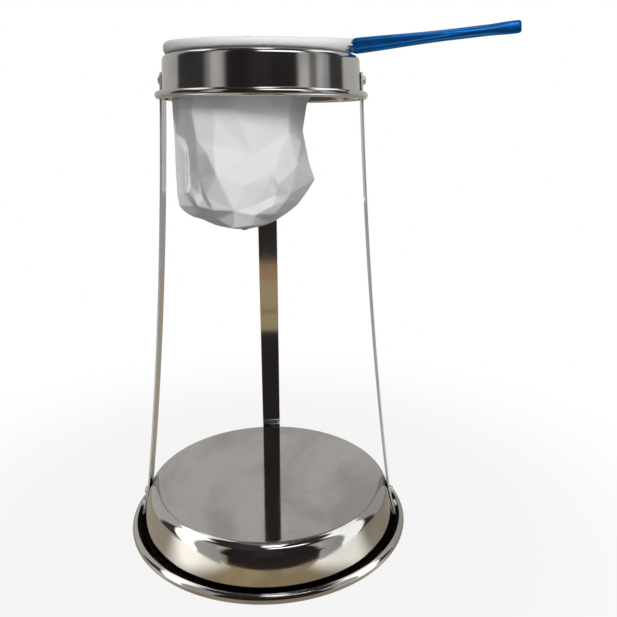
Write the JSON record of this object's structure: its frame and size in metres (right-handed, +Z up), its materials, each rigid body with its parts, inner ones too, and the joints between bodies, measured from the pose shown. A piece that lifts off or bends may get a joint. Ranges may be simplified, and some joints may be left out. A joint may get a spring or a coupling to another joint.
{
  "type": "coffee filter stand",
  "caption": "Table stand that holds a cloth coffee filter over a pot: inverted pressed dish as base, strip legs, rolled ring, and a hooped cotton bag with a tube handle.",
  "frame": {"origin": "centre of the base dish's rim, on the table", "axes": "+Z up; -Y is the open front where the pot goes in; +X is the side of the handle"},
  "size_m": [0.2798, 0.22, 0.3751],
  "materials": {
    "polished_steel": "mirror-polished stainless sheet",
    "strip_steel": "bright rolled stainless strip",
    "zinc_steel": "zinc-plated steel",
    "cotton": "white brushed cotton cloth",
    "blue_aluminium": "blue anodised tube and wire"
  },
  "bodies": {
    "stand": {"base_dish": "polished_steel", "top_ring": "polished_steel", "left_leg": "strip_steel", "right_leg": "strip_steel", "rear_leg": "strip_steel", "left_ring_screw": "zinc_steel", "left_ring_nut": "zinc_steel", "right_ring_screw": "zinc_steel", "right_ring_nut": "zinc_steel", "rear_ring_screw": "zinc_steel", "rear_ring_nut": "zinc_steel", "left_upper_foot_screw": "zinc_steel", "left_upper_foot_nut": "zinc_steel", "right_upper_foot_screw": "zinc_steel", "right_upper_foot_nut": "zinc_steel", "rear_upper_foot_screw": "zinc_steel", "rear_upper_foot_nut": "zinc_steel", "left_lower_foot_screw": "zinc_steel", "left_lower_foot_nut": "zinc_steel", "right_lower_foot_screw": "zinc_steel", "right_lower_foot_nut": "zinc_steel", "rear_lower_foot_screw": "zinc_steel", "rear_lower_foot_nut": "zinc_steel"},
    "filter": {"filter_hoop": "blue_aluminium", "filter_hem": "cotton", "filter_bag": "cotton", "filter_handle": "blue_aluminium"}
  },
  "joints": [
    {"name": "filter_lift", "type": "slide", "parent": "stand", "child": "filter", "axis": [0, 0, 1], "range_m": [0, 0.125]}
  ]
}
